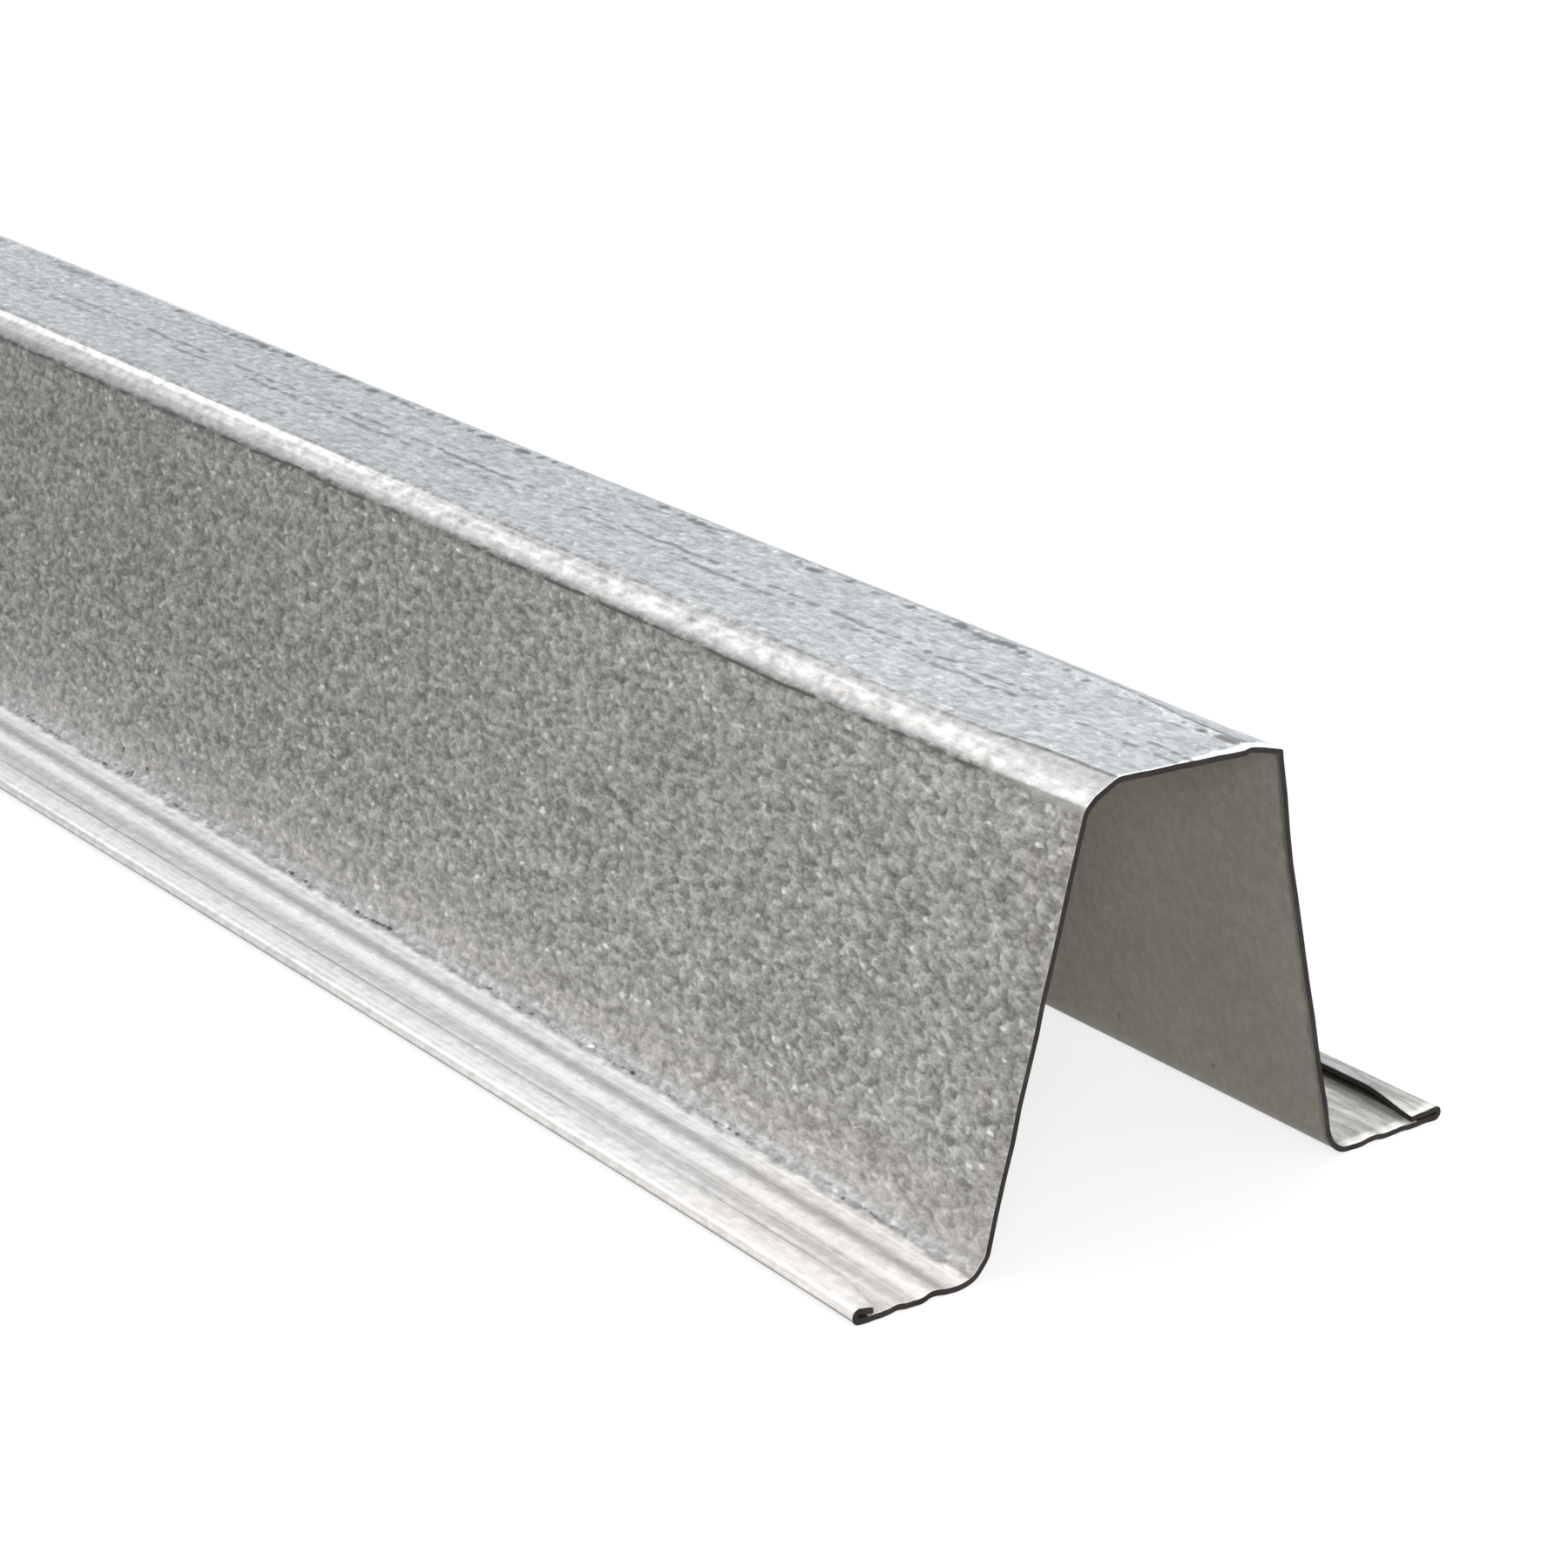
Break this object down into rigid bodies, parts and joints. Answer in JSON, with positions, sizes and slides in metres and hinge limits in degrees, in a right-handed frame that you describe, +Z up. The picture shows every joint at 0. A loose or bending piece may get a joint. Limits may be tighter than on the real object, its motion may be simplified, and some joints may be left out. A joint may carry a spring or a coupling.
{
  "type": "steel top hat batten",
  "caption": "Roll-formed galvanised steel top hat batten: open hat section with faceted crown corners, leaning webs, ribbed flanges and hemmed edges, for carrying cladding or lining.",
  "frame": {"origin": "at mid length, under the middle of the crown, in the plane that the undersides of the flanges rest on", "axes": "+X along the batten's length, +Y across it, +Z up from the flanges to the crown"},
  "size_m": [2.4, 0.103, 0.064],
  "materials": {
    "galvanised_steel": "hot-dip galvanised, fine spangle, mill finish, with roll marks along the length and dark sheared ends"
  },
  "bodies": {
    "root": {"top_hat_batten": "galvanised_steel"}
  },
  "joints": []
}
